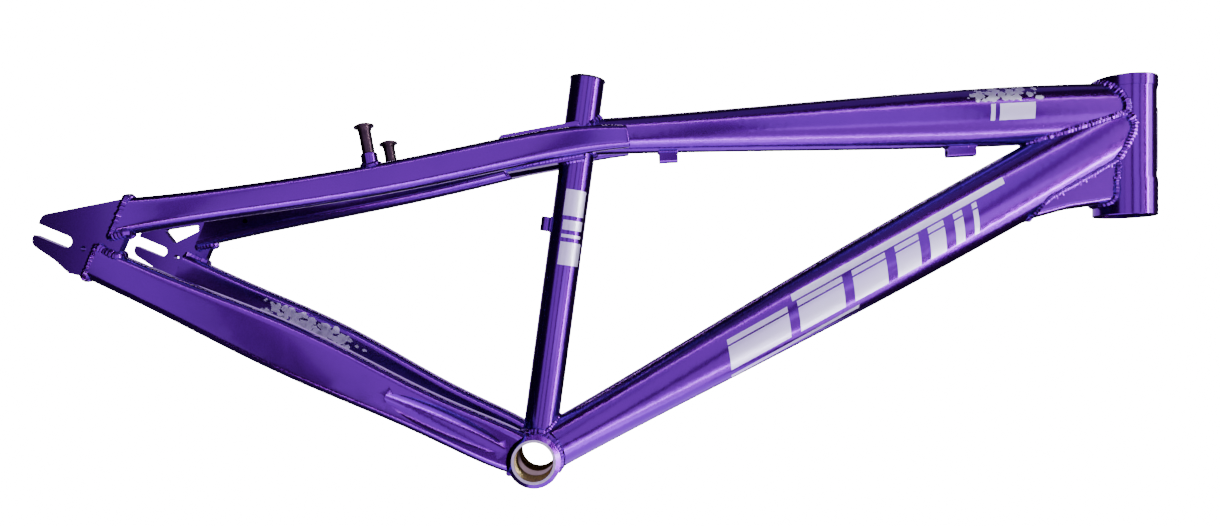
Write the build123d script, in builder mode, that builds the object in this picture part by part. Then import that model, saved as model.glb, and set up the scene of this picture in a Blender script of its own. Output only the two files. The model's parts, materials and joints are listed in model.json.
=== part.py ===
"""Bare welded frame for a 26-inch jump bike, in aluminium tube.

Frame of reference: the origin is the centre of the bottom bracket, +X points
forward, +Y to the rider's left and +Z up, as the bike stands. Sizes are in
millimetres. Tubes are mitred: each one stops at the outside of the tube that
it is welded to, so no two solids overlap.
"""
import os
from math import cos, radians, sin, sqrt

from build123d import *

# --- Overall geometry -------------------------------------------------------
SEAT_ANGLE = 75.2            # seat tube to the ground, degrees
SEAT_TUBE_LENGTH = 350       # bottom bracket centre to the tube's top
HEAD_ANGLE = 67.5            # head tube to the ground, degrees
HEAD_TUBE_LENGTH = 127
REACH = 370.5                # bottom bracket to the head tube's top, forward
STACK = 530.0                # bottom bracket to the head tube's top, upward
AXLE_BACK = 435              # bottom bracket to the rear axle, backward
BOTTOM_BRACKET_DROP = 30     # bottom bracket below the rear axle
REAR_SPACING = 135           # between the dropouts' inner faces

# --- Head tube, for a 44 mm press-in headset --------------------------------
HEAD_TUBE_OD = 50
HEAD_BORE = 44
HEAD_RELIEF = 45             # bore between the two cup seats
HEAD_CUP_SEAT = 18           # length of each cup seat
HEAD_BAND_OD = 51.8          # thicker bands at the two ends
HEAD_TOP_BAND = 10
HEAD_BOTTOM_BAND = 33
HEAD_EDGE = 0.6              # chamfer on the two rims

# --- Seat tube, for a 27.2 mm post in a sleeve ------------------------------
SEAT_TUBE_OD = 31.8
SEAT_TUBE_BORE = 28.6
SEAT_POST = 27.2
SLEEVE_LENGTH = 80
SLEEVE_LIP = 1.6             # height of the sleeve's lip on the tube
SLEEVE_LIP_PROUD = 0.8       # how far the lip stands outside the tube
SLEEVE_LIP_EDGE = 0.7        # rounding of the lip
SLEEVE_SLIT = 2              # width of the sleeve's own slit
SLIT_WIDTH = 3
SLIT_LENGTH = 34

# --- Bottom bracket shell, 1.37 inch x 24 threads ---------------------------
SHELL_OD = 48
SHELL_LENGTH = 73
SHELL_BORE = 34.8
SHELL_FACE_OD = 39.6         # outside of the bare machined faces
SHELL_BEVEL = 3

# --- Top tube and down tube: (share of length, height, width) ---------------
TUBE_WALL = 1.8
TOP_TUBE_BELOW_SEAT_TOP = 53.5
TOP_TUBE_BELOW_HEAD_TOP = 29
TOP_TUBE_STATIONS = [(0, 33, 31), (0.3, 40.5, 34), (0.5, 48, 38), (0.75, 54, 42), (1, 50, 44)]
DOWN_TUBE_BELOW_HEAD_TOP = 44
DOWN_TUBE_STATIONS = [(0, 43, 42), (0.18, 47, 42), (0.45, 58, 45), (0.75, 63, 48), (1, 61, 48)]

# --- Gusset under the down tube ---------------------------------------------
GUSSET_WIDTH = 36
GUSSET_WALL = 2.5
GUSSET_TAIL = 123            # distances back from the down tube's front end
GUSSET_KNEE = 90
GUSSET_KNEE_DEPTH = 8        # below the down tube's underside
GUSSET_FRONT = 53
GUSSET_FRONT_DEPTH = 22
GUSSET_BEND = 6
GUSSET_DRAIN = 6

# --- Seat stays: (share, rise, spread, height) ------------------------------
# Rise is above the straight line between the ends. Spread is 0 beside the
# seat tube and 1 at the dropout.
STAY_WALL = 1.6
STAY_OUTSET = 1              # stays' centre outside the dropouts' inner faces
SEAT_STAY_WIDTH = 20
SEAT_STAY_CORNER = 8
SEAT_STAY_STATIONS = [
    (0.11, -0.5, 0.86, 27),
    (0.33, -1.5, 0.5, 26.5),
    (0.59, 0, 0.23, 27.5),
    (0.86, 4, 0.02, 26),
]
SEAT_STAY_REAR = (38, 36)        # end at the dropout, from the axle
SEAT_STAY_REAR_HEIGHT = 36
SEAT_STAY_FRONT = (40, 13)       # end on the top tube, from its rear end
SEAT_STAY_FRONT_HEIGHT = 20
SEAT_STAY_FRONT_WIDTH = 14
SEAT_STAY_FRONT_CORNER = 5.6
SEAT_STAY_SINK = 1.2         # how far the stays are let into the seat tube and top tube
CAP_THICKNESS = 2.5
CAP_EDGE = 1.5
STAY_VENT = 5

# --- Chain stays: (share, rise, spread, height) -----------------------------
# Spread is 0 at the shell and 1 at the dropout.
CHAIN_STAY_WIDTH = 20
CHAIN_STAY_CORNER = 7
CHAIN_STAY_STATIONS = [
    (0.1, 0.5, 0.95, 31),
    (0.34, 0.8, 0.72, 41),
    (0.46, 0.8, 0.61, 43),
    (0.56, 0.5, 0.52, 41),
    (0.78, -0.5, 0.3, 37),
]
CHAIN_STAY_REAR = (31, -8)       # end at the dropout, from the axle
CHAIN_STAY_REAR_HEIGHT = 29
CHAIN_STAY_FRONT_HEIGHT = 31
CHAIN_STAY_INSET = 1         # stay's outer face inside the shell's end
CRANK_DIMPLE_START = 0.66        # shares of the chain stay
CRANK_DIMPLE_END = 0.925
CRANK_DIMPLE_HEIGHT = 22
CRANK_DIMPLE_DEPTH = 5

# --- Yoke and bridge between the stays --------------------------------------
YOKE_LENGTH = 75             # to the seat tube's axis
YOKE_WIDTH = 42
YOKE_TOP = 22                # above the seat stays' centreline
YOKE_BOTTOM = 12             # below it
YOKE_CHAMFER = 5
YOKE_WALL = 4
BRIDGE_BEHIND_SHELL = 62     # bridge centre from the bottom bracket
BRIDGE_OD = 16
BRIDGE_WALL = 2.5

# --- Dropouts, drawn from the axle ------------------------------------------
DROPOUT_THICKNESS = 8
DROPOUT_REAR = 22            # plate behind the axle
DROPOUT_REAR_HEIGHT = 26     # height of the plate's rear end
DROPOUT_CORNER = 7
DROPOUT_WEB = 49             # plate ahead of the axle, in the crotch of the stays
DROPOUT_LAP = 4              # how far the web's outline runs over the stays
DROPOUT_STEP = 1             # plate's edges short of the stays' edges
DROPOUT_FOOT = (2, -18)      # lowest corner of the plate
DROPOUT_HEEL = 14            # straight lower edge behind the chain stay
AXLE_SLOT_WIDTH = 10
AXLE_SLOT_FRONT = 5          # slot's round end ahead of the nominal axle
VENT_HOLE = 5
VENT_AHEAD = 20.5
WINDOW = [(-2, 21), (28, 39.5), (31.5, 33), (13, 12)]
WINDOW_CORNER = 1.5

# --- Rim brake posts --------------------------------------------------------
BRAKE_POST_RADIUS = 256      # axle to post, for a 559 mm rim
BRAKE_POST_SPACING = 78
BRAKE_BOSS_OD = 14.5
BRAKE_BOSS_HEIGHT = 9.5      # above the stay
BRAKE_BOSS_EDGE = 1.5
BRAKE_STUD_OD = 11
BRAKE_STUD_LENGTH = 23
BRAKE_FLARE_OD = 13.5        # the post widens under the bolt's flange
BRAKE_FLARE = 4
BRAKE_BOLT = 5.2             # M6 bolt's core
BRAKE_BOLT_DEPTH = 14
BRAKE_FLANGE_OD = 17.6
BRAKE_FLANGE = 2
BRAKE_HEAD_OD = 12
BRAKE_HEAD = 1.2             # low round head on the flange
BRAKE_KEY = 5                # hexagon key across flats
BRAKE_KEY_DEPTH = 2.6
BRAKE_EDGE = 0.7             # rounding of the bolt's flange and head

# --- Cable guides, stop and badge -------------------------------------------
GUIDE_WIDTH = 9
GUIDE_CORNER = 2.7
GUIDE_DROP = 9               # below the top tube
GUIDE_BORE = 5.2
GUIDE_GAP = 2.4
GUIDE_REAR_AT = 81           # along the top tube from the seat tube
GUIDE_REAR_LENGTH = 17
GUIDE_FRONT_AT = 352
GUIDE_FRONT_LENGTH = 26
STOP_AT = 213                # up the seat tube
STOP_HEIGHT = 13
STOP_OD = 10
STOP_FERRULE = 5.2
STOP_WIRE = 2.2
STOP_SEAT = 9                # depth of the ferrule's seat
STOP_SINK = 0.5              # how far the stop is let into the seat tube
BADGE_BELOW_HEAD_TOP = 57.5
BADGE_HEIGHT = 60
BADGE_WIDTH = 27
BADGE_CORNER = 8
BADGE_THICKNESS = 0.8

OVERCUT = 4                  # how far a cutting solid runs past what it cuts
CLOSE = 0.01                 # two places nearer than this are the same

# --- Points and directions worked out from the sizes ------------------------
SIDEWAYS = Vector(0, 1, 0)
SEAT_AXIS = Vector(-cos(radians(SEAT_ANGLE)), 0, sin(radians(SEAT_ANGLE)))
HEAD_AXIS = Vector(cos(radians(HEAD_ANGLE)), 0, -sin(radians(HEAD_ANGLE)))
HEAD_FORWARD = Vector(sin(radians(HEAD_ANGLE)), 0, cos(radians(HEAD_ANGLE)))
HEAD_TOP = Vector(REACH, 0, STACK)
SEAT_TOP = SEAT_AXIS * SEAT_TUBE_LENGTH
AXLE = Vector(-AXLE_BACK, 0, BOTTOM_BRACKET_DROP)
SHELL_CENTRE = Vector(0, 0, 0)
TOP_TUBE_REAR = SEAT_TOP - SEAT_AXIS * TOP_TUBE_BELOW_SEAT_TOP
TOP_TUBE_FRONT = HEAD_TOP + HEAD_AXIS * TOP_TUBE_BELOW_HEAD_TOP
DOWN_TUBE_FRONT = HEAD_TOP + HEAD_AXIS * DOWN_TUBE_BELOW_HEAD_TOP
SEAT_STAY_START = AXLE + Vector(SEAT_STAY_REAR[0], 0, SEAT_STAY_REAR[1])
SEAT_STAY_END = TOP_TUBE_REAR + Vector(SEAT_STAY_FRONT[0], 0, SEAT_STAY_FRONT[1])
CHAIN_STAY_START = AXLE + Vector(CHAIN_STAY_REAR[0], 0, CHAIN_STAY_REAR[1])
SEAT_STAY_LENGTH = (SEAT_STAY_END - SEAT_STAY_START).length
DOWN_TUBE_LENGTH = DOWN_TUBE_FRONT.length
STAY_REAR_Y = REAR_SPACING / 2 + STAY_OUTSET
SEAT_STAY_FRONT_Y = (SEAT_TUBE_OD + SEAT_STAY_WIDTH) / 2 - SEAT_STAY_SINK
CHAIN_STAY_FRONT_Y = (SHELL_LENGTH - CHAIN_STAY_WIDTH) / 2 - CHAIN_STAY_INSET


def direction(start, end):
    """Unit vector from start to end."""
    return (end - start).normalized()


def across(start, end, distance):
    """Plane square to a tube, its x sideways and its y up, a distance along it."""
    along = direction(start, end)
    return Plane(origin=start + along * distance, x_dir=SIDEWAYS, z_dir=along)


def beside(start, end):
    """Plane of the tube's side view, its x along the tube and its y up."""
    return Plane(origin=start, x_dir=direction(start, end), z_dir=-SIDEWAYS)


def oval_body(start, end, stations, inset=0):
    """Solid through oval stations (share, height, width) from start to end."""
    length = (end - start).length
    with BuildPart() as body:
        for share, height, width in stations:
            with BuildSketch(across(start, end, share * length)):
                Ellipse(width / 2 - inset, height / 2 - inset)
        loft()
    return body.part


def rod(start, along, length, diameter):
    """Plain round solid from a point along a direction."""
    with BuildPart() as body:
        with BuildSketch(Plane(origin=start, x_dir=SIDEWAYS, z_dir=along)):
            Circle(diameter / 2)
        extrude(amount=length)
    return body.part


# --- Envelopes that other pieces are mitred to ------------------------------
with BuildPart() as head_outside:
    add(rod(HEAD_TOP, HEAD_AXIS, HEAD_TUBE_LENGTH, HEAD_TUBE_OD))
    add(rod(HEAD_TOP, HEAD_AXIS, HEAD_TOP_BAND, HEAD_BAND_OD))
    add(rod(HEAD_TOP + HEAD_AXIS * HEAD_TUBE_LENGTH, -HEAD_AXIS, HEAD_BOTTOM_BAND, HEAD_BAND_OD))
    rims = edges().filter_by(GeomType.CIRCLE).sort_by(Axis(HEAD_TOP, HEAD_AXIS))
    chamfer([rims[0], rims[-1]], HEAD_EDGE)
head_envelope = head_outside.part
seat_envelope = rod(SHELL_CENTRE, SEAT_AXIS, SEAT_TUBE_LENGTH, SEAT_TUBE_OD)
with BuildPart() as shell_envelope:
    Cylinder(SHELL_OD / 2, SHELL_LENGTH + 2 * OVERCUT, rotation=(90, 0, 0))
top_envelope = oval_body(TOP_TUBE_REAR, TOP_TUBE_FRONT, TOP_TUBE_STATIONS)
down_envelope = oval_body(SHELL_CENTRE, DOWN_TUBE_FRONT, DOWN_TUBE_STATIONS)

# --- Head tube: a seat for a headset cup at each end, and relief between them ---
head_foot = HEAD_TOP + HEAD_AXIS * HEAD_TUBE_LENGTH
with BuildPart() as head_tube:
    add(head_envelope)
    add(rod(HEAD_TOP, HEAD_AXIS, HEAD_CUP_SEAT, HEAD_BORE), mode=Mode.SUBTRACT)
    add(rod(head_foot, -HEAD_AXIS, HEAD_CUP_SEAT, HEAD_BORE), mode=Mode.SUBTRACT)
    relief_length = HEAD_TUBE_LENGTH - 2 * HEAD_CUP_SEAT
    add(rod(HEAD_TOP + HEAD_AXIS * HEAD_CUP_SEAT, HEAD_AXIS, relief_length, HEAD_RELIEF), mode=Mode.SUBTRACT)

# --- Bottom bracket shell ---------------------------------------------------
with BuildPart() as bottom_bracket_shell:
    with BuildSketch(Plane.XY):
        with BuildLine():
            half, outer, face = SHELL_LENGTH / 2, SHELL_OD / 2, SHELL_FACE_OD / 2
            Polyline(
                (SHELL_BORE / 2, -half), (face, -half), (outer, -half + SHELL_BEVEL),
                (outer, half - SHELL_BEVEL), (face, half), (SHELL_BORE / 2, half), close=True,
            )
        make_face()
    revolve(axis=Axis.Y)

# --- Seat tube, with the clamp slit at its back -----------------------------
with BuildPart() as seat_tube:
    add(seat_envelope)
    add(rod(SHELL_CENTRE, SEAT_AXIS, SEAT_TUBE_LENGTH + OVERCUT, SEAT_TUBE_BORE), mode=Mode.SUBTRACT)
    add(shell_envelope.part, mode=Mode.SUBTRACT)
    with BuildSketch(Plane(origin=SEAT_TOP, x_dir=SIDEWAYS, z_dir=SIDEWAYS.cross(SEAT_AXIS))):
        with Locations((0, -SLIT_LENGTH / 2 + OVERCUT / 2)):
            Rectangle(SLIT_WIDTH, SLIT_LENGTH + OVERCUT)
        with Locations((0, -SLIT_LENGTH)):
            Circle(SLIT_WIDTH)
    extrude(amount=-SEAT_TUBE_OD, mode=Mode.SUBTRACT)

# --- Sleeve that takes the seat post ----------------------------------------
with BuildPart() as seat_tube_sleeve:
    with BuildSketch(Plane(origin=SEAT_TOP, x_dir=SIDEWAYS, z_dir=SEAT_AXIS)):
        Circle(SEAT_TUBE_BORE / 2)
    extrude(amount=-SLEEVE_LENGTH)
    with BuildSketch(Plane(origin=SEAT_TOP, x_dir=SIDEWAYS, z_dir=SEAT_AXIS)):
        Circle(SEAT_TUBE_OD / 2 + SLEEVE_LIP_PROUD)
    extrude(amount=SLEEVE_LIP)
    lip = faces().sort_by(Axis(SHELL_CENTRE, SEAT_AXIS))[-1]
    fillet(lip.edges(), SLEEVE_LIP_EDGE)
    with Locations(Plane(origin=SEAT_TOP, x_dir=SIDEWAYS, z_dir=SEAT_AXIS)):
        Hole(SEAT_POST / 2)
    with BuildSketch(Plane(origin=SEAT_TOP, x_dir=SIDEWAYS, z_dir=SIDEWAYS.cross(SEAT_AXIS))):
        Rectangle(SLEEVE_SLIT, 2 * SLEEVE_LENGTH + OVERCUT)
    extrude(amount=-SEAT_TUBE_OD, mode=Mode.SUBTRACT)

# --- Top tube ---------------------------------------------------------------
with BuildPart() as top_tube:
    add(top_envelope)
    add(oval_body(TOP_TUBE_REAR, TOP_TUBE_FRONT, TOP_TUBE_STATIONS, TUBE_WALL), mode=Mode.SUBTRACT)
    add([seat_envelope, head_envelope], mode=Mode.SUBTRACT)

# --- Down tube, which runs into the top tube's underside at the head --------
with BuildPart() as down_tube:
    add(down_envelope)
    add(oval_body(SHELL_CENTRE, DOWN_TUBE_FRONT, DOWN_TUBE_STATIONS, TUBE_WALL), mode=Mode.SUBTRACT)
    add([shell_envelope.part, seat_envelope, head_envelope, top_envelope], mode=Mode.SUBTRACT)


# --- Gusset: a folded channel that fills the angle below the down tube ------
def gusset_body(width, inset=0):
    """The channel's outer block, or with an inset the hollow inside it."""
    side = beside(SHELL_CENTRE, DOWN_TUBE_FRONT)
    underside = -DOWN_TUBE_STATIONS[-1][1] / 2
    root = underside / 2
    bottom = underside - GUSSET_FRONT_DEPTH
    head = side.to_local_coords(HEAD_TOP + HEAD_AXIS) - side.to_local_coords(HEAD_TOP)
    lean = head.X / head.Y
    with BuildPart() as body:
        with BuildSketch(side):
            with BuildLine():
                Polyline(
                    (DOWN_TUBE_LENGTH - GUSSET_KNEE, root),
                    (DOWN_TUBE_LENGTH - GUSSET_TAIL, underside),
                    (DOWN_TUBE_LENGTH - GUSSET_KNEE, underside - GUSSET_KNEE_DEPTH),
                    (DOWN_TUBE_LENGTH - GUSSET_FRONT, bottom),
                    (DOWN_TUBE_LENGTH + lean * bottom, bottom),
                    (DOWN_TUBE_LENGTH + lean * root, root), close=True,
                )
            make_face()
            if inset:
                offset(amount=-inset, kind=Kind.INTERSECTION, mode=Mode.REPLACE)
        extrude(amount=width / 2, both=True)
        bends = [
            edge for edge in edges()
            if abs(edge.center().Y) > width / 2 - CLOSE
            and side.to_local_coords(edge.center()).Y < underside - CLOSE
            and side.to_local_coords(edge.center()).X < DOWN_TUBE_LENGTH + lean * bottom
        ]
        fillet(bends, GUSSET_BEND - inset)
    return body.part


with BuildPart() as head_gusset:
    add(gusset_body(GUSSET_WIDTH))
    add(gusset_body(GUSSET_WIDTH - 2 * GUSSET_WALL, GUSSET_WALL), mode=Mode.SUBTRACT)
    add([down_envelope, head_envelope], mode=Mode.SUBTRACT)
    down_side = beside(SHELL_CENTRE, DOWN_TUBE_FRONT)
    drain_run = DOWN_TUBE_STATIONS[-1][1]
    drain_at = down_side.from_local_coords(Vector(DOWN_TUBE_LENGTH - GUSSET_KNEE, -drain_run, 0))
    add(rod(drain_at, down_side.y_dir, drain_run, GUSSET_DRAIN), mode=Mode.SUBTRACT)


# --- Seat stays -------------------------------------------------------------
def between(low, high, share):
    """Value a share of the way from low to high."""
    return low + (high - low) * share


def closed_end(start):
    """Plane that ends a stay's hollow short of the dropout, so the end is closed."""
    return Plane(origin=start + Vector(CAP_THICKNESS, 0, 0), z_dir=(1, 0, 0))


def seat_stay_body(inset=0):
    """Right seat stay as a solid; with an inset, the hollow inside it."""
    along = direction(SEAT_STAY_START, SEAT_STAY_END)
    side = beside(SEAT_STAY_START, SEAT_STAY_END)
    front_y = TOP_TUBE_STATIONS[0][2] / 2 + SEAT_STAY_FRONT_WIDTH / 2 - SEAT_STAY_SINK
    with BuildPart() as body:
        rear = SEAT_STAY_START - SIDEWAYS * STAY_REAR_Y
        with BuildSketch(Plane(origin=rear, x_dir=SIDEWAYS, z_dir=(1, 0, 0))):
            RectangleRounded(
                SEAT_STAY_WIDTH - 2 * inset, SEAT_STAY_REAR_HEIGHT - 2 * inset, SEAT_STAY_CORNER - inset
            )
        for share, rise, spread, height in SEAT_STAY_STATIONS:
            centre = side.from_local_coords(
                Vector(share * SEAT_STAY_LENGTH, rise, between(SEAT_STAY_FRONT_Y, STAY_REAR_Y, spread))
            )
            with BuildSketch(Plane(origin=centre, x_dir=SIDEWAYS, z_dir=along)):
                RectangleRounded(
                    SEAT_STAY_WIDTH - 2 * inset, height - 2 * inset, SEAT_STAY_CORNER - inset
                )
        front = SEAT_STAY_END - SIDEWAYS * front_y + along * (OVERCUT if inset else 0)
        with BuildSketch(Plane(origin=front, x_dir=SIDEWAYS, z_dir=along)):
            RectangleRounded(
                SEAT_STAY_FRONT_WIDTH - 2 * inset, SEAT_STAY_FRONT_HEIGHT - 2 * inset,
                SEAT_STAY_FRONT_CORNER - inset,
            )
        loft()
        if inset:
            split(bisect_by=closed_end(SEAT_STAY_START))
    return body.part


stay_envelope_right = seat_stay_body()
stay_envelope_left = stay_envelope_right.mirror(Plane.XZ)


with BuildPart() as seat_stay_right:
    add(stay_envelope_right)
    add(seat_stay_body(STAY_WALL), mode=Mode.SUBTRACT)
    add([seat_envelope, top_envelope], mode=Mode.SUBTRACT)
    vent_at = beside(SEAT_STAY_START, SEAT_STAY_END).from_local_coords(
        Vector(SEAT_STAY_STATIONS[0][0] * SEAT_STAY_LENGTH, 0, STAY_REAR_Y / 2)
    )
    with BuildSketch(Plane(origin=vent_at, x_dir=(1, 0, 0), z_dir=-SIDEWAYS)):
        Circle(STAY_VENT / 2)
    extrude(amount=STAY_REAR_Y / 2 - SEAT_STAY_WIDTH / 4, mode=Mode.SUBTRACT)

# Caps that close the stays' front ends on the top tube's sides.
with BuildPart() as seat_stay_cap_right:
    cap_along = direction(SEAT_STAY_START, SEAT_STAY_END)
    cap_y = TOP_TUBE_STATIONS[0][2] / 2 + SEAT_STAY_FRONT_WIDTH / 2 - SEAT_STAY_SINK
    with BuildSketch(Plane(origin=SEAT_STAY_END - SIDEWAYS * cap_y, x_dir=SIDEWAYS, z_dir=cap_along)):
        RectangleRounded(SEAT_STAY_FRONT_WIDTH, SEAT_STAY_FRONT_HEIGHT, SEAT_STAY_FRONT_CORNER)
    extrude(amount=CAP_THICKNESS)
    fillet(faces().sort_by(Axis(SHELL_CENTRE, cap_along))[-1].edges(), CAP_EDGE)
    add(top_envelope, mode=Mode.SUBTRACT)


# --- Chain stays ------------------------------------------------------------
def chain_stay_y(share):
    """Distance of the chain stay's centre from the mid-plane, along the stay."""
    known = [(0, 1)] + [(at, spread) for at, _, spread, _ in CHAIN_STAY_STATIONS] + [(1, 0)]
    for (low, low_spread), (high, high_spread) in zip(known, known[1:]):
        if share <= high:
            spread = between(low_spread, high_spread, (share - low) / (high - low))
            return between(CHAIN_STAY_FRONT_Y, STAY_REAR_Y, spread)


def chain_stay_body(inset=0):
    """Right chain stay as a solid; with an inset, the hollow inside it."""
    along = direction(CHAIN_STAY_START, SHELL_CENTRE)
    length = CHAIN_STAY_START.length
    up = beside(CHAIN_STAY_START, SHELL_CENTRE).y_dir
    stations = [(0, 0, CHAIN_STAY_REAR_HEIGHT)]
    stations += [(share, rise, height) for share, rise, _, height in CHAIN_STAY_STATIONS]
    stations += [(1, 0, CHAIN_STAY_FRONT_HEIGHT)]
    with BuildPart() as body:
        for share, rise, height in stations:
            centre = CHAIN_STAY_START + along * (share * length) + up * rise
            centre -= SIDEWAYS * chain_stay_y(share)
            square = Vector(1, 0, 0) if share < CHAIN_STAY_STATIONS[0][0] else along
            with BuildSketch(Plane(origin=centre, x_dir=SIDEWAYS, z_dir=square)):
                RectangleRounded(
                    CHAIN_STAY_WIDTH - 2 * inset, height - 2 * inset, CHAIN_STAY_CORNER - inset
                )
        loft()
        if inset:
            split(bisect_by=closed_end(CHAIN_STAY_START))
    return body.part


def crank_dimple(growth=0):
    """Long shallow oval that clears the crank: a spindle laid on the outer face."""
    length = CHAIN_STAY_START.length
    ends = []
    for share in (CRANK_DIMPLE_START, CRANK_DIMPLE_END):
        centre = between(CHAIN_STAY_START, SHELL_CENTRE, share)
        ends.append(centre - SIDEWAYS * (chain_stay_y(share) + CHAIN_STAY_WIDTH / 2))
    half_length = (ends[1] - ends[0]).length / 2
    spread = (CRANK_DIMPLE_HEIGHT / 2) ** 2 / CRANK_DIMPLE_DEPTH
    radius = (spread + CRANK_DIMPLE_DEPTH) / 2
    stand_off = radius - CRANK_DIMPLE_DEPTH
    reach = half_length / sqrt(1 - stand_off / radius) * (1 + growth / (2 * radius))
    middle = between(ends[0], ends[1], 0.5) - SIDEWAYS * stand_off
    spine = direction(ends[0], ends[1])
    with BuildPart() as body:
        with BuildSketch(Plane(origin=middle, x_dir=spine, z_dir=spine.cross(SIDEWAYS))):
            with BuildLine():
                ThreePointArc((-reach, 0), (0, radius + growth), (reach, 0))
                Line((reach, 0), (-reach, 0))
            make_face()
        revolve(axis=Axis(middle, spine))
    return body.part


chain_envelope_right = chain_stay_body()
chain_envelope_left = chain_envelope_right.mirror(Plane.XZ)

with BuildPart() as chain_stay_hollow:
    add(chain_stay_body(STAY_WALL))
    add(crank_dimple(STAY_WALL), mode=Mode.SUBTRACT)

with BuildPart() as chain_stay_right:
    add(chain_envelope_right)
    add(crank_dimple(), mode=Mode.SUBTRACT)
    add(chain_stay_hollow.part, mode=Mode.SUBTRACT)
    add([shell_envelope.part, seat_envelope, down_envelope], mode=Mode.SUBTRACT)

# --- Yoke: an open-bottomed box between the seat stays, behind the seat tube ---
yoke_side = beside(SEAT_STAY_START, SEAT_STAY_END)
yoke_front = yoke_side.to_local_coords(TOP_TUBE_REAR).X
with BuildPart() as seat_stay_yoke:
    with BuildSketch(yoke_side):
        with Locations((yoke_front - YOKE_LENGTH / 2, (YOKE_TOP - YOKE_BOTTOM) / 2)):
            Rectangle(YOKE_LENGTH, YOKE_TOP + YOKE_BOTTOM)
        chamfer(vertices().group_by(Axis(yoke_side.origin, yoke_side.y_dir))[-1], YOKE_CHAMFER)
    extrude(amount=YOKE_WIDTH / 2, both=True)
    with BuildSketch(yoke_side):
        with Locations((yoke_front - YOKE_LENGTH / 2, (YOKE_TOP - YOKE_BOTTOM) / 2 - YOKE_WALL)):
            Rectangle(YOKE_LENGTH - 2 * YOKE_WALL, YOKE_TOP + YOKE_BOTTOM)
    extrude(amount=SEAT_TUBE_OD / 2 - YOKE_WALL, both=True, mode=Mode.SUBTRACT)
    add([stay_envelope_right, stay_envelope_left, seat_envelope, top_envelope], mode=Mode.SUBTRACT)

# --- Bridge between the chain stays -----------------------------------------
with BuildPart() as chain_stay_bridge:
    with BuildSketch(Plane(origin=(-BRIDGE_BEHIND_SHELL, 0, 0), x_dir=(1, 0, 0), z_dir=SIDEWAYS)):
        Circle(BRIDGE_OD / 2)
        Circle(BRIDGE_OD / 2 - BRIDGE_WALL, mode=Mode.SUBTRACT)
    extrude(amount=chain_stay_y(1 - BRIDGE_BEHIND_SHELL / CHAIN_STAY_START.length), both=True)
    add([chain_envelope_right, chain_envelope_left], mode=Mode.SUBTRACT)


# --- Dropouts ---------------------------------------------------------------
def dropout_outline(plane):
    """The plate's outline and axle slot, drawn about the axle on a side-view plane."""
    stay_x, stay_z = SEAT_STAY_REAR
    low_x, low_z = CHAIN_STAY_REAR
    stay_top = stay_z + SEAT_STAY_REAR_HEIGHT / 2
    stay_foot = stay_z - SEAT_STAY_REAR_HEIGHT / 2
    low_top = low_z + CHAIN_STAY_REAR_HEIGHT / 2
    low_foot = low_z - CHAIN_STAY_REAR_HEIGHT / 2
    with BuildSketch(plane) as outline:
        with BuildLine():
            Polyline(
                (-DROPOUT_REAR, DROPOUT_REAR_HEIGHT / 2),
                (stay_x, stay_top - DROPOUT_STEP),
                (stay_x, stay_foot),
                (DROPOUT_WEB, stay_foot + 2 * DROPOUT_LAP),
                (DROPOUT_WEB, low_top - DROPOUT_LAP),
                (low_x, low_top),
                (low_x, low_foot + DROPOUT_STEP),
                (low_x - DROPOUT_HEEL, low_foot - DROPOUT_STEP),
                DROPOUT_FOOT,
                (-DROPOUT_REAR, -DROPOUT_REAR_HEIGHT / 2), close=True,
            )
        make_face()
        fillet(vertices().group_by(Axis.X)[0], DROPOUT_CORNER)
        slot_run = AXLE_SLOT_FRONT + DROPOUT_REAR + OVERCUT
        with Locations((AXLE_SLOT_FRONT - slot_run / 2, 0)):
            SlotCenterToCenter(slot_run, AXLE_SLOT_WIDTH, mode=Mode.SUBTRACT)
        with Locations((VENT_AHEAD, 0)):
            Circle(VENT_HOLE / 2, mode=Mode.SUBTRACT)
    return outline.sketch


with BuildPart() as dropout_right:
    inner_face = AXLE - SIDEWAYS * (REAR_SPACING / 2)
    add(dropout_outline(Plane(origin=inner_face, x_dir=(1, 0, 0), z_dir=-SIDEWAYS)))
    extrude(amount=DROPOUT_THICKNESS, dir=-SIDEWAYS)
    add([stay_envelope_right, chain_envelope_right], mode=Mode.SUBTRACT)

# The left plate is the right one's mirror image, lightened by a window.
with BuildPart() as dropout_left:
    add(dropout_right.part.mirror(Plane.XZ))
    with BuildSketch(Plane(origin=AXLE, x_dir=(1, 0, 0), z_dir=-SIDEWAYS)):
        with BuildLine():
            Polyline(*WINDOW, close=True)
        make_face()
        fillet(vertices(), WINDOW_CORNER)
    extrude(amount=-REAR_SPACING, mode=Mode.SUBTRACT)

# --- Rim brake posts on the seat stays --------------------------------------
stay_along = direction(SEAT_STAY_START, SEAT_STAY_END)
from_axle = SEAT_STAY_START - AXLE
run = -from_axle.dot(stay_along) + sqrt(
    from_axle.dot(stay_along) ** 2 + BRAKE_POST_RADIUS ** 2 - from_axle.length ** 2
)
post_up = beside(SEAT_STAY_START, SEAT_STAY_END).y_dir
post_foot = SEAT_STAY_START + stay_along * run - SIDEWAYS * (BRAKE_POST_SPACING / 2)
boss_top = post_foot + post_up * (SEAT_STAY_STATIONS[1][3] / 2 + BRAKE_BOSS_HEIGHT)
stud_top = boss_top + post_up * BRAKE_STUD_LENGTH

with BuildPart() as brake_boss_right:
    add(rod(post_foot, post_up, (boss_top - post_foot).length, BRAKE_BOSS_OD))
    fillet(edges().sort_by(Axis(post_foot, post_up))[-1], BRAKE_BOSS_EDGE)
    add(stay_envelope_right, mode=Mode.SUBTRACT)

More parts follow.
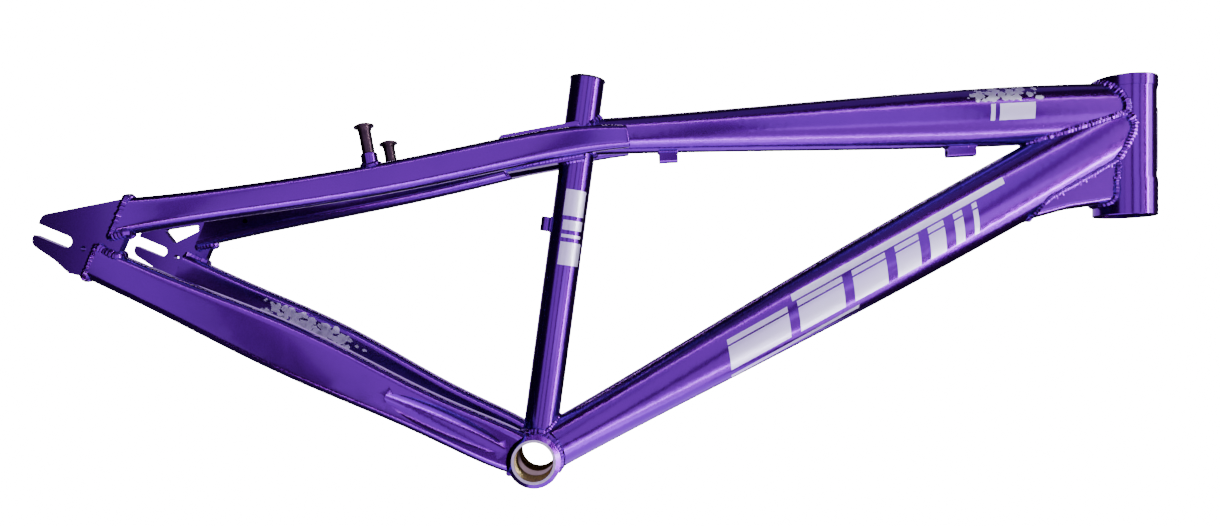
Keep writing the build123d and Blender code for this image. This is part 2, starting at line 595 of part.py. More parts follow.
with BuildPart() as brake_stud_right:
    add(rod(boss_top, post_up, BRAKE_STUD_LENGTH - BRAKE_FLARE, BRAKE_STUD_OD))
    flare_plane = Plane(origin=stud_top - post_up * BRAKE_FLARE, x_dir=SIDEWAYS, z_dir=post_up)
    with BuildSketch(flare_plane):
        Circle(BRAKE_STUD_OD / 2)
    with BuildSketch(flare_plane.offset(BRAKE_FLARE)):
        Circle(BRAKE_FLARE_OD / 2)
    loft()
    add(rod(stud_top - post_up * BRAKE_BOLT_DEPTH, post_up, BRAKE_BOLT_DEPTH, BRAKE_BOLT), mode=Mode.SUBTRACT)

with BuildPart() as brake_stud_bolt_right:
    bolt_plane = Plane(origin=stud_top, x_dir=SIDEWAYS, z_dir=post_up)
    add(rod(stud_top - post_up * BRAKE_BOLT_DEPTH, post_up, BRAKE_BOLT_DEPTH, BRAKE_BOLT))
    add(rod(stud_top, post_up, BRAKE_FLANGE, BRAKE_FLANGE_OD))
    fillet(edges().sort_by(Axis(stud_top, post_up))[-1], BRAKE_EDGE)
    with BuildSketch(bolt_plane.offset(BRAKE_FLANGE)):
        Circle(BRAKE_HEAD_OD / 2)
    extrude(amount=BRAKE_HEAD)
    fillet(edges().sort_by(Axis(stud_top, post_up))[-1], BRAKE_EDGE)
    with BuildSketch(bolt_plane.offset(BRAKE_FLANGE + BRAKE_HEAD)):
        RegularPolygon(BRAKE_KEY / 2, 6, major_radius=False)
    extrude(amount=-BRAKE_KEY_DEPTH, mode=Mode.SUBTRACT)


# --- Cable guides under the top tube ----------------------------------------
def cable_guide(at, length):
    """Open C-shaped guide welded along the top tube's underside."""
    frame = beside(TOP_TUBE_REAR, TOP_TUBE_FRONT)
    tube_length = (TOP_TUBE_FRONT - TOP_TUBE_REAR).length
    share = at / tube_length
    for (low, low_height, _), (high, high_height, _) in zip(TOP_TUBE_STATIONS, TOP_TUBE_STATIONS[1:]):
        if low <= share <= high:
            underside = -between(low_height, high_height, (share - low) / (high - low)) / 2
    plane = across(TOP_TUBE_REAR, TOP_TUBE_FRONT, at - length / 2)
    with BuildPart() as body:
        with BuildSketch(plane):
            with Locations((0, underside - GUIDE_DROP / 2 + OVERCUT / 2)):
                RectangleRounded(GUIDE_WIDTH, GUIDE_DROP + OVERCUT, GUIDE_CORNER)
            with Locations((0, underside - GUIDE_DROP / 2)):
                Circle(GUIDE_BORE / 2, mode=Mode.SUBTRACT)
            with Locations((0, underside - GUIDE_DROP)):
                Rectangle(GUIDE_GAP, GUIDE_DROP, mode=Mode.SUBTRACT)
        extrude(amount=length)
        add(top_envelope, mode=Mode.SUBTRACT)
    return body.part


with BuildPart() as cable_guide_rear:
    add(cable_guide(GUIDE_REAR_AT, GUIDE_REAR_LENGTH))

with BuildPart() as cable_guide_front:
    add(cable_guide(GUIDE_FRONT_AT, GUIDE_FRONT_LENGTH))

# --- Cable stop on the seat tube's back -------------------------------------
seat_back = SEAT_AXIS.cross(SIDEWAYS)
with BuildPart() as cable_stop:
    stop_out = (SEAT_TUBE_OD + STOP_OD) / 2 - STOP_SINK
    stop_foot = SEAT_AXIS * (STOP_AT - STOP_HEIGHT / 2) + seat_back * stop_out
    with BuildSketch(Plane(origin=stop_foot, x_dir=SIDEWAYS, z_dir=SEAT_AXIS)):
        Circle(STOP_OD / 2)
        Circle(STOP_WIRE / 2, mode=Mode.SUBTRACT)
    extrude(amount=STOP_HEIGHT)
    add(rod(stop_foot, SEAT_AXIS, STOP_SEAT, STOP_FERRULE), mode=Mode.SUBTRACT)
    add(seat_envelope, mode=Mode.SUBTRACT)

# --- Badge on the head tube's front -----------------------------------------
with BuildPart() as head_badge:
    badge_at = HEAD_TOP + HEAD_AXIS * BADGE_BELOW_HEAD_TOP
    badge_start = badge_at - HEAD_AXIS * BADGE_HEIGHT
    add(rod(badge_start, HEAD_AXIS, 2 * BADGE_HEIGHT, HEAD_TUBE_OD + 2 * BADGE_THICKNESS))
    add(rod(badge_start, HEAD_AXIS, 2 * BADGE_HEIGHT, HEAD_TUBE_OD), mode=Mode.SUBTRACT)
    with BuildSketch(Plane(origin=badge_at, x_dir=SIDEWAYS, z_dir=HEAD_FORWARD)):
        RectangleRounded(BADGE_WIDTH, BADGE_HEIGHT, BADGE_CORNER)
    extrude(amount=HEAD_TUBE_OD, mode=Mode.INTERSECT)

# --- Left-hand pieces are mirror images -------------------------------------
pieces = {
    "head_tube": head_tube.part,
    "head_badge": head_badge.part,
    "top_tube": top_tube.part,
    "down_tube": down_tube.part,
    "head_gusset": head_gusset.part,
    "seat_tube": seat_tube.part,
    "seat_tube_sleeve": seat_tube_sleeve.part,
    "bottom_bracket_shell": bottom_bracket_shell.part,
    "seat_stay_yoke": seat_stay_yoke.part,
    "chain_stay_bridge": chain_stay_bridge.part,
    "dropout_right": dropout_right.part,
    "dropout_left": dropout_left.part,
    "cable_guide_rear": cable_guide_rear.part,
    "cable_guide_front": cable_guide_front.part,
    "cable_stop": cable_stop.part,
}
paired = {
    "seat_stay": seat_stay_right.part,
    "seat_stay_cap": seat_stay_cap_right.part,
    "chain_stay": chain_stay_right.part,
    "brake_boss": brake_boss_right.part,
    "brake_stud": brake_stud_right.part,
    "brake_stud_bolt": brake_stud_bolt_right.part,
}
for name, part in paired.items():
    pieces[name + "_right"] = part
    pieces[name + "_left"] = part.mirror(Plane.XZ)

os.makedirs("parts", exist_ok=True)
for name, part in pieces.items():
    part.label = name
    export_step(part, f"parts/{name}.step")
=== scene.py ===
# %% [markdown]
# # A bare jump-bike frame in violet candy lacquer
# The real object is a frame welded from aluminium tube, then sprayed with a bright metallic
# base, a clear lacquer dyed violet, and a hard clear coat. The tubes, plates and posts come from
# the CAD model and keep their shape. This lesson gives them their finish, and adds what only the
# eye needs: weld beads, cut threads and film graphics.

# %% Load the frame and measure its box
import json
import math
import random
import bmesh
import bpy
from mathutils import Matrix, Vector
from mathutils.bvhtree import BVHTree


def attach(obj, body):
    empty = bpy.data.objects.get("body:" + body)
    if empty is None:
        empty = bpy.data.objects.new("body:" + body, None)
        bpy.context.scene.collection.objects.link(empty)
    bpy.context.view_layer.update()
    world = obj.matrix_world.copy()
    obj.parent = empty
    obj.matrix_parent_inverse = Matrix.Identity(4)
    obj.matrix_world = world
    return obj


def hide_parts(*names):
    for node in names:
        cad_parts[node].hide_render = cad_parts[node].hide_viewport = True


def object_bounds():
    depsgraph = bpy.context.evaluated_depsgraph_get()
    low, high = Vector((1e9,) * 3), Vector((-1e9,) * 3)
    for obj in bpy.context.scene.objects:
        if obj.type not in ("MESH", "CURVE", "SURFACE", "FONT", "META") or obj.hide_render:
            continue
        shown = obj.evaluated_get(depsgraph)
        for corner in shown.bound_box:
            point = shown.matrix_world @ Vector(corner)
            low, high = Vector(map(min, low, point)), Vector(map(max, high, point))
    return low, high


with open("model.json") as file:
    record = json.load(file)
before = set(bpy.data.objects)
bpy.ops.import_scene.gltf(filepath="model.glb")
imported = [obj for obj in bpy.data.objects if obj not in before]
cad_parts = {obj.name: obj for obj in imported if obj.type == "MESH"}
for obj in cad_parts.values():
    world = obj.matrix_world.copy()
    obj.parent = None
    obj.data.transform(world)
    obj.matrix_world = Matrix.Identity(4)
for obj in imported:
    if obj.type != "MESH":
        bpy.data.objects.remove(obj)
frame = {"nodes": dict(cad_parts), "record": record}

MM = 0.001
cad_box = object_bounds()
nodes = frame["nodes"]
mounts = {mount["name"]: mount for mount in frame["record"]["mounts"]}
print("nodes:", len(nodes), "box in mm:", [[round(c / MM) for c in corner] for corner in cad_box])

# %% [markdown]
# ## Camera
# A frame like this is shown from its drive side, from less than a metre away, with its nose turned
# down. The frame stands upright here, so the camera is rolled instead. The lens is wide enough for
# the tubes to show their perspective, and a small shift sets the framing.

# %% Camera
CAMERA_PLACE = Vector((4.0, -737, 159.7)) * MM
CAMERA_ROLL = math.radians(22.5)
SENSOR_WIDTH = 36.0
LENS_SHARE = 0.651               # focal length as a share of the sensor's width
FRAMING_SHIFT = (0.0025, 0.0279)  # right and up, as shares of the picture's width


def aim(thing, place, right, up):
    """Place a camera or light by the directions of its own right and up."""
    turn = Matrix((right, up, right.cross(up))).transposed().to_4x4()
    turn.translation = place
    thing.matrix_world = turn


view_right = Vector((math.cos(CAMERA_ROLL), 0, math.sin(CAMERA_ROLL)))
view_up = Vector((-math.sin(CAMERA_ROLL), 0, math.cos(CAMERA_ROLL)))
camera = bpy.data.objects.new("camera", bpy.data.cameras.new("camera"))
bpy.context.scene.collection.objects.link(camera)
camera.data.sensor_width = SENSOR_WIDTH
camera.data.lens = SENSOR_WIDTH * LENS_SHARE
camera.data.shift_x, camera.data.shift_y = FRAMING_SHIFT
aim(camera, CAMERA_PLACE, view_right, view_up)
bpy.context.scene.camera = camera
print("camera roll in degrees:", round(math.degrees(CAMERA_ROLL), 1))

# %% [markdown]
# ## Studio
# Candy lacquer shows what it reflects, so the room matters more than the colour. The room is
# dark. Four soft panels stand behind the camera with dark gaps between them, so the flat sides
# of the tubes show light and dark stretches. Narrow strips draw the thin bright lines along each
# tube, and panels above, below and at the nose keep the tubes' edges from going black. A dimmer
# set lights the far side.

# %% Studio helpers
PANEL_TARGET = Vector((-30, 0, 250)) * MM    # about the middle of the frame


def linear(hex_colour, alpha=1.0):
    """sRGB hex colour to linear RGBA."""
    channels = [int(hex_colour[i:i + 2], 16) / 255 for i in (1, 3, 5)]
    channels = [c / 12.92 if c <= 0.04045 else ((c + 0.055) / 1.055) ** 2.4 for c in channels]
    return channels + [alpha]


def node(material, kind, values=None, links=None, **settings):
    """Add one shader node with its settings, its socket values and its links."""
    made = material.node_tree.nodes.new(kind)
    for name, value in settings.items():
        setattr(made, name, value)
    for socket, value in (values or {}).items():
        made.inputs[socket].default_value = value
    for socket, source in (links or {}).items():
        material.node_tree.links.new(source, made.inputs[socket])
    return made


def panel(name, across, out, up, width, height, glow, colour="#ffffff"):
    """Soft light facing the frame's middle, placed in metres along the camera's directions."""
    light = bpy.data.lights.new(name, "AREA")
    light.shape = "RECTANGLE"
    light.size, light.size_y = width, height
    light.energy = glow * math.pi * width * height
    light.color = linear(colour)[:3]
    thing = bpy.data.objects.new(name, light)
    bpy.context.scene.collection.objects.link(thing)
    thing.visible_camera = False
    place = PANEL_TARGET + view_right * across + view_up * up - Vector((0, 1, 0)) * out
    back = (place - PANEL_TARGET).normalized()
    side = view_up.cross(back).normalized()
    aim(thing, place, side, back.cross(side))


# %% Lights
# Each call gives a name, the place across, out and up, the width and height, and the glow.
panel("front_panel_rear", -1.05, 1.7, 0.55, 0.7, 2.5, 1.05, "#d4b4ff")
panel("front_panel_middle", -0.2, 1.7, 0.5, 0.75, 2.8, 1.2, "#dcc0ff")
panel("front_panel_fore", 0.7, 1.7, 0.65, 0.7, 2.4, 1.5, "#d4b4ff")
panel("front_panel_nose", 1.5, 1.6, 0.4, 0.5, 2.7, 1.5, "#e0c8ff")
panel("top_panel", 0.2, 0.3, 1.7, 2.8, 0.9, 0.3, "#c8a0ff")
panel("corner_panel", 1.0, 1.5, -0.8, 1.6, 1.5, 1.1, "#e0c8ff")
panel("under_panel", 0.2, 0.1, -1.25, 2.8, 1.0, 2.2, "#d0a8ff")
panel("lower_panel", 0.6, 1.1, -1.5, 2.8, 0.9, 2.6, "#e0c8ff")
panel("lower_strip", 0.3, 1.0, -1.1, 2.6, 0.06, 14.0)
panel("upper_strip", 0.0, 1.2, 1.35, 3.0, 0.07, 9.0)
panel("side_panel", 1.7, 0.5, 0.0, 0.5, 2.2, 4.0, "#e0c8ff")
panel("side_strip", 1.5, 0.75, 0.0, 0.06, 2.2, 50.0)
panel("far_panel", -0.2, -1.9, 0.2, 2.8, 1.2, 1.1, "#dcc0ff")
panel("far_strip", 0.0, -1.4, 1.4, 2.6, 0.04, 12.0)
print("lights:", [light.name for light in bpy.data.lights])

# %% [markdown]
# ## White room and floor
# The frame is shown on plain white, but a white room would wash every reflection out. So the
# camera alone sees white: all other rays meet a dark violet room and a dark floor. The Light
# Path node tells the two kinds of ray apart.

# %% White room
CAMERA_WHITE = 20.0              # bright enough to show as plain white paper
ROOM_GLOW = 0.5


def white_to_camera(tree, real, white):
    """White for the camera's own rays, and the real surface for all others."""
    seen = node(tree, "ShaderNodeLightPath").outputs["Is Camera Ray"]
    return node(tree, "ShaderNodeMixShader", links={0: seen, 1: real, 2: white}).outputs[0]


room = bpy.data.worlds.new("room")
room.use_nodes = True
bpy.context.scene.world = room
room.node_tree.nodes.clear()
dark = node(room, "ShaderNodeBackground", {"Color": linear("#2c2438"), "Strength": ROOM_GLOW})
white = node(room, "ShaderNodeBackground", {"Color": linear("#ffffff"), "Strength": CAMERA_WHITE})
mixed = white_to_camera(room, dark.outputs[0], white.outputs[0])
node(room, "ShaderNodeOutputWorld", links={"Surface": mixed})
print("made", room.name)

# %% Floor
FLOOR_HALF = 4.0
FLOOR_DROP = 1.4                 # the frame hangs on a shop stand's arm, well above the floor
bm = bmesh.new()
bmesh.ops.create_grid(bm, x_segments=1, y_segments=1, size=FLOOR_HALF)
bmesh.ops.translate(bm, verts=bm.verts, vec=(0, 0, cad_box[0].z - FLOOR_DROP))
floor_mesh = bpy.data.meshes.new("floor")
bm.to_mesh(floor_mesh)
bm.free()
floor = bpy.data.objects.new("floor", floor_mesh)
bpy.context.scene.collection.objects.link(floor)
paper = bpy.data.materials.new("white_paper")
paper.use_nodes = True
paper.node_tree.nodes.clear()
matt = node(paper, "ShaderNodeBsdfDiffuse", {"Color": linear("#4a4456")})
lit = node(paper, "ShaderNodeEmission", {"Color": linear("#ffffff"), "Strength": CAMERA_WHITE})
mixed = white_to_camera(paper, matt.outputs[0], lit.outputs[0])
node(paper, "ShaderNodeOutputMaterial", links={"Surface": mixed})
floor.data.materials.append(paper)
print("floor at mm:", round((cad_box[0].z - FLOOR_DROP) / MM))

# %% [markdown]
# ## Violet candy lacquer
# Candy lacquer is a clear lacquer dyed with violet over a silver base. Light passes the dye
# twice, so the metal below reflects pure violet, and the clear coat on top adds a white,
# mirror-sharp reflection. A metallic base with a clear coat gives both. The flakes in the base
# scatter the violet a little, and the sprayed coat keeps a faint orange peel a few millimetres
# across. Patterns follow Object coordinates, so one pattern runs on from piece to piece.

# %% Material helpers
def blank(name):
    """New material with no nodes but the Object coordinates that its patterns follow."""
    material = bpy.data.materials.new(name)
    material.use_nodes = True
    material.node_tree.nodes.clear()
    return material, node(material, "ShaderNodeTexCoord").outputs["Object"]


def finish(material, values, links):
    """Give a material its shader, with plain values and linked patterns."""
    shader = node(material, "ShaderNodeBsdfPrincipled", values, links)
    node(material, "ShaderNodeOutputMaterial", links={"Surface": shader.outputs[0]})
    print("made", material.name)
    return material


# %% Candy lacquer
LACQUER_POOL = 60 * MM           # slow drift in the dyed coat's thickness
FLAKE = 0.5 * MM                 # drawn coarse: real flakes are too fine to show
ORANGE_PEEL = 4 * MM
PEEL_DEPTH = 0.05 * MM

candy, place = blank("violet_candy_lacquer")
pool = node(candy, "ShaderNodeTexNoise", {"Scale": 1 / LACQUER_POOL, "Detail": 2.0},
            {"Vector": place}).outputs["Fac"]
flake = node(candy, "ShaderNodeTexNoise", {"Scale": 1 / FLAKE, "Detail": 1.0},
             {"Vector": place}).outputs["Fac"]
peel = node(candy, "ShaderNodeTexNoise", {"Scale": 1 / ORANGE_PEEL, "Detail": 1.0},
            {"Vector": place}).outputs["Fac"]
dye = node(candy, "ShaderNodeMix", {6: linear("#66009c"), 7: linear("#7a00ae")}, {0: pool},
           data_type="RGBA").outputs[2]
scatter = node(candy, "ShaderNodeMapRange", {"To Min": 0.16, "To Max": 0.24}, {"Value": flake})
ripple = node(candy, "ShaderNodeBump", {"Strength": 0.04, "Distance": PEEL_DEPTH},
              {"Height": peel})
finish(candy, {"Metallic": 1.0, "Coat Weight": 0.45, "Coat Roughness": 0.07},
       {"Base Color": dye, "Roughness": scatter.outputs["Result"],
        "Coat Normal": ripple.outputs["Normal"]})

# %% [markdown]
# ## Turned aluminium
# Bare aluminium shows only at the bottom bracket, where the lathe cuts after painting. Its end
# faces are clean and bright. Its bore and threads are coloured straw, which is a painted warm
# reflection. On both, the tool leaves fine rings round the axle, so a ring pattern drives the
# gloss and a very shallow bump.

# %% Turned aluminium
WAVE_PERIOD = math.pi / 10       # spacing of a wave texture's rings at a scale of one
TURNING = 0.687 * MM             # drawn coarse: a real lathe's marks are too fine to show
# size of the patches in the aluminium's tone, which on the bore is a painted warm reflection
TONE_PATCH = 9 * MM
GROOVE_DEPTH = 0.03 * MM


def turned_aluminium(name, low, high, rough_low, rough_high):
    """Aluminium between two colours, with the lathe's rings in its gloss."""
    metal, place = blank(name)
    marks = node(metal, "ShaderNodeTexWave",
                 {"Scale": WAVE_PERIOD / TURNING, "Distortion": 1.5, "Detail": 2.0},
                 {"Vector": place}, wave_type="RINGS", rings_direction="Y").outputs["Fac"]
    tone_patch = node(metal, "ShaderNodeTexNoise", {"Scale": 1 / TONE_PATCH, "Detail": 3.0},
                 {"Vector": place}).outputs["Fac"]
    colour = node(metal, "ShaderNodeMix", {6: linear(low), 7: linear(high)}, {0: tone_patch},
                  data_type="RGBA").outputs[2]
    gloss = node(metal, "ShaderNodeMapRange", {"To Min": rough_low, "To Max": rough_high},
                 {"Value": marks})
    groove = node(metal, "ShaderNodeBump", {"Strength": 0.3, "Distance": GROOVE_DEPTH},
                  {"Height": marks})
    return finish(metal, {"Metallic": 1.0},
                  {"Base Color": colour, "Roughness": gloss.outputs["Result"],
                   "Normal": groove.outputs["Normal"]})


faced = turned_aluminium("faced_aluminium", "#d9d6da", "#efeaf2", 0.18, 0.34)
# the bore's straw colours are a painted warm reflection, not the metal's own colour
painted_warm_reflection_metal = turned_aluminium("aluminium_with_painted_warm_reflection", "#8d7c4c", "#b3a270", 0.25, 0.42)

# %% [markdown]
# ## Blackened steel
# The brake posts and their bolts are steel with a black oxide that has a bronze cast. The oxide
# grows in patches, which differ a little in both colour and gloss, so one noise drives both.

# %% Blackened steel
OXIDE_PATCH = 6 * MM

steel, place = blank("bronze_black_oxide_steel")
patch = node(steel, "ShaderNodeTexNoise", {"Scale": 1 / OXIDE_PATCH, "Detail": 3.0},
             {"Vector": place}).outputs["Fac"]
oxide = node(steel, "ShaderNodeMix", {6: linear("#3a2c35"), 7: linear("#5b4a50")}, {0: patch},
             data_type="RGBA").outputs[2]
gloss = node(steel, "ShaderNodeMapRange", {"To Min": 0.22, "To Max": 0.42}, {"Value": patch})
finish(steel, {"Metallic": 1.0}, {"Base Color": oxide, "Roughness": gloss.outputs["Result"]})

# %% [markdown]
# ## Moulded nylon
# The sleeve in the seat tube's top is black nylon from a textured mould. The mould leaves a fine
# even grain, so one noise makes both a slight bump and a slight change of tone.

# %% Moulded nylon
MOULD_GRAIN = 0.6 * MM
GRAIN_DEPTH = 0.03 * MM

nylon, place = blank("moulded_black_nylon")
grain = node(nylon, "ShaderNodeTexNoise", {"Scale": 1 / MOULD_GRAIN, "Detail": 2.0},
             {"Vector": place}).outputs["Fac"]
tone = node(nylon, "ShaderNodeMix", {6: linear("#0d0b10"), 7: linear("#1a171f")}, {0: grain},
            data_type="RGBA").outputs[2]
pimple = node(nylon, "ShaderNodeBump", {"Strength": 0.3, "Distance": GRAIN_DEPTH},
              {"Height": grain})
finish(nylon, {"Roughness": 0.42}, {"Base Color": tone, "Normal": pimple.outputs["Normal"]})

# %% [markdown]
# ## Silver film
# The graphics are metallised vinyl film under the clear coat. Metal flake in the vinyl gives it
# a satin silver that turns from lilac to pale blue over the length of a hand, and the coat gives
# it a sharp gloss. A mostly metallic shader with a full coat does both.

# %% Silver film
SHEEN_DRIFT = 40 * MM

film, place = blank("silver_lilac_film")
drift = node(film, "ShaderNodeTexNoise", {"Scale": 1 / SHEEN_DRIFT, "Detail": 1.0},
             {"Vector": place}).outputs["Fac"]
silver = node(film, "ShaderNodeMix", {6: linear("#eeecff"), 7: linear("#f2faff")}, {0: drift},
              data_type="RGBA").outputs[2]
finish(film, {"Metallic": 0.85, "Roughness": 0.35, "Coat Weight": 1.0, "Coat Roughness": 0.05},
       {"Base Color": silver})

# %% [markdown]
# ## Skins for the CAD pieces
# A CAD node is loose flat triangles, and a gloss coat would show every one of them. Each node
# gets a skin: a copy with its triangles merged and shaded smooth, except across real creases.
# The skin stands for the node, in exactly the same place. The merged copies also serve later,
# to find the seams for the welds and the surfaces for the film.

# %% Merged copies
MERGE = 0.004 * MM
CREASE = math.radians(26)


def merged(name):
    """Bmesh copy of a CAD node with its loose triangles joined."""
    copy = bmesh.new()
    copy.from_mesh(nodes[name].data)
    bmesh.ops.remove_doubles(copy, verts=copy.verts, dist=MERGE)
    bmesh.ops.dissolve_degenerate(copy, dist=MERGE, edges=copy.edges)
    copy.normal_update()
    return copy


creased = {name: merged(name) for name in nodes}
surfaces = {name: BVHTree.FromBMesh(copy) for name, copy in creased.items()}
print("merged copies:", len(creased))


# %% Making a piece
def keep(name, copy, slot, *materials):
    """Turn a bmesh into a piece of the object with its finishes; its slot is not used."""
    mesh = bpy.data.meshes.new(name)
    copy.to_mesh(mesh)
    copy.free()
    thing = bpy.data.objects.new(name, mesh)
    bpy.context.scene.collection.objects.link(thing)
    for material in materials:
        mesh.materials.append(material)
    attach(thing, "root")
    return thing


def shade(copy):
    """Smooth shading that stops at creases."""
    for face in copy.faces:
        face.smooth = True
    for edge in copy.edges:
        edge.smooth = len(edge.link_faces) == 2 and edge.calc_face_angle(0) < CREASE


# %% Skins
FACED_REACH = 19.9 * MM          # a little outside the faced ring
BORE_REACH = 17.5 * MM           # a little outside the bore
WALL_LEAN, FACE_LEAN = 0.5, 0.9  # how far a normal leans to the axle on a wall or an end face

finishes = {subpart["node"]: subpart["material_slot"] for subpart in frame["record"]["subparts"]}
slot_materials = {"candy_paint": candy, "blackened_steel": steel, "black_polymer": nylon,
                  "silver_vinyl": film}
for name, slot in finishes.items():
    copy = creased[name].copy()
    shade(copy)
    if name == "bottom_bracket_shell":
        for face in copy.faces:
            reach = math.hypot(face.calc_center_median().x, face.calc_center_median().z)
            lean = abs(face.normal.y)
            # bore wall: its straw colour is a painted warm reflection
            if reach < BORE_REACH and lean < WALL_LEAN:
                face.material_index = 2
            elif reach < FACED_REACH and lean > FACE_LEAN:
                face.material_index = 1
        skin = keep(name + "_skin", copy, slot, candy, faced, painted_warm_reflection_metal)
    else:
        skin = keep(name + "_skin", copy, slot, slot_materials[slot])
    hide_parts(name)
print("skins:", len(finishes))

# %% [markdown]
# ## Weld beads
# Each joint of the real frame carries a bead of small overlapping puddles, like a row of tilted
# coins. The seam is found from the model itself: it is the crease at the end of one piece's
# outer surface that lies on its neighbour. The creases are put end to end into paths, which are
# then evened out, because a welder's hand doesn't follow every corner of a cut tube.

# %% Finding a seam
SEAM_REACH = 0.25 * MM           # how near the neighbour's surface a crease has to lie


def outer_patch(copy):
    """Faces of the largest stretch that no crease crosses: a tube's outside."""
    left, best, best_area = set(copy.faces), set(), 0
    while left:
        queue = [left.pop()]
        patch = set(queue)
        while queue:
            for edge in queue.pop().edges:
                if len(edge.link_faces) == 2 and edge.calc_face_angle(0) < CREASE:
                    fresh = [face for face in edge.link_faces if face in left]
                    left.difference_update(fresh)
                    patch.update(fresh)
                    queue.extend(fresh)
        area = sum(face.calc_area() for face in patch)
        if area > best_area:
            best, best_area = patch, area
    return best


def seam_paths(piece, neighbour, whole, reach):
    """Lists of points along the creases of a piece that lie on its neighbour."""
    copy = creased[piece]
    patch = set(copy.faces) if whole else outer_patch(copy)
    links = {}
    for edge in copy.edges:
        if len(edge.link_faces) != 2 or edge.calc_face_angle(0) < CREASE:
            continue
        if patch.isdisjoint(edge.link_faces):
            continue
        if all(surfaces[neighbour].find_nearest(vert.co)[3] < reach for vert in edge.verts):
            for vert in edge.verts:
                links.setdefault(vert, []).append(edge)
    paths, used = [], set()
    for start in sorted(links, key=lambda vert: (len(links[vert]) != 1, vert.index)):
        for first in links[start]:
            if first in used:
                continue
            path, edge, here = [start.co.copy()], first, start
            while edge:
                used.add(edge)
                here = edge.other_vert(here)
                path.append(here.co.copy())
                edge = next((other for other in links[here] if other not in used), None)
            paths.append(path)
    return paths


# %% Evening a seam
SEAM_STEP = 0.8 * MM
SMOOTHING = 3                    # passes
FEWEST_STEPS = 4


def evened(path):
    """A path's points spaced one step apart, then smoothed, and whether it closes."""
    runs = [(b - a).length for a, b in zip(path, path[1:])]
    length = sum(runs)
    closed = (path[0] - path[-1]).length < SEAM_STEP
    count = max(FEWEST_STEPS, round(length / SEAM_STEP))
    points, place, index = [], 0.0, 0
    for step in range(count + (not closed)):
        target = length * step / count
        while index < len(runs) - 1 and place + runs[index] < target:
            place += runs[index]
            index += 1
        share = (target - place) / max(runs[index], 1e-9)
        points.append(path[index].lerp(path[index + 1], share))
    for _ in range(SMOOTHING):
        points = [
            point if not closed and at in (0, len(points) - 1)
            else (points[at - 1] + 2 * point + points[(at + 1) % len(points)]) / 4
            for at, point in enumerate(points)
        ]
    return points, length, closed


# %% [markdown]
# ## Laying the beads
# A curve with a round section follows each path. Its radius swells once for every puddle, early
# in the puddle and fading after, which is how each one freezes over the last. No two puddles
# are the same size. The curve is made a mesh, so that the bead is real geometry.

# %% Laying the beads
PUDDLE = 3.0 * MM                # spacing of the puddles along a bead
PUDDLE_SWELL = 0.22              # as a share of the bead's radius
PUDDLE_LEAN = 0.6                # under one, a puddle is fullest before its middle
PUDDLE_MEAN = 0.6                # about the mean of a puddle's swell
PUDDLE_SIZES = (0.86, 1.1)
SHORTEST_SEAM = 6 * MM
PLATE_REACH = 2.2 * MM           # how far a plate's straight edge leaves a stay's rounded end
BEAD_RESOLUTION = 2              # coarse, as a bead is only a few millimetres thick
random.seed(4)


def weld(piece, neighbour, width=6.4, whole=False, reach=SEAM_REACH):
    """Weld bead, so many millimetres wide, where a piece ends on its neighbour."""
    name = "weld_" + piece + "_to_" + neighbour
    curve = bpy.data.curves.new(name, "CURVE")
    curve.dimensions = "3D"
    curve.bevel_depth = width / 2 * MM
    curve.bevel_resolution = BEAD_RESOLUTION
    curve.use_fill_caps = True
    total = 0
    for path in seam_paths(piece, neighbour, whole, reach):
        points, length, closed = evened(path)
        if length < SHORTEST_SEAM:
            continue
        total += length
        spline = curve.splines.new("POLY")
        spline.points.add(len(points) - 1)
        spline.use_cyclic_u = closed
        puddles = max(1, round(length / PUDDLE))
        sizes = [random.uniform(*PUDDLE_SIZES) for _ in range(puddles)]
        for at, (point, control) in enumerate(zip(points, spline.points)):
            along = at / len(points) * puddles
            hump = math.sin(math.pi * (along % 1) ** PUDDLE_LEAN)
            swell = 1 + PUDDLE_SWELL * (hump - PUDDLE_MEAN)
            control.co = (*point, 1)
            control.radius = sizes[int(along) % puddles] * swell
    if not total:
        print("no seam:", piece, neighbour)
        return
    thing = bpy.data.objects.new(name, curve)
    copy = bmesh.new()
    copy.from_mesh(bpy.data.meshes.new_from_object(thing))
    bpy.data.objects.remove(thing)
    bmesh.ops.remove_doubles(copy, verts=copy.verts, dist=MERGE)
    bmesh.ops.recalc_face_normals(copy, faces=copy.faces)
    shade(copy)
    print(name, "mm:", round(total / MM), "faces:", len(copy.faces))
    keep(name, copy, "candy_paint", candy)


weld("top_tube", "seat_tube")
weld("top_tube", "head_tube", 7.0)
weld("down_tube", "head_tube", 7.0)
weld("down_tube", "top_tube")
weld("down_tube", "bottom_bracket_shell")
weld("down_tube", "seat_tube", 5.0)
weld("seat_tube", "bottom_bracket_shell")
weld("head_gusset", "down_tube", 5.0, True)
weld("head_gusset", "head_tube", 6.0, True)
weld("chain_stay_bridge", "chain_stay_right", 4.5)
weld("chain_stay_bridge", "chain_stay_left", 4.5)
weld("seat_stay_yoke", "seat_tube", 5.0, True)
for side in ("_right", "_left"):
    weld("seat_stay" + side, "top_tube", 5.0)
    weld("seat_stay" + side, "seat_tube", 5.0)
    weld("chain_stay" + side, "bottom_bracket_shell")
    weld("dropout" + side, "seat_stay" + side, 8.0, True, PLATE_REACH)
    weld("dropout" + side, "chain_stay" + side, 8.0, True, PLATE_REACH)
    weld("brake_boss" + side, "seat_stay" + side, 5.0)
    weld("seat_stay_yoke", "seat_stay" + side, 4.0, True)
weld("cable_guide_rear", "top_tube", 2.6, True)
weld("cable_guide_front", "top_tube", 2.6, True)
weld("cable_stop", "seat_tube", 2.6, True)

# %% [markdown]
# ## Cut threads
# The bottom bracket's bore is cut with a fine thread from each end. Only its ridges are needed:
# a small triangle is turned round the bore's axis while it moves along it, which is what spin
# does when it is also given a step. The two ends wind in opposite directions, as on a real
# shell, so that pedalling never unscrews the cups.

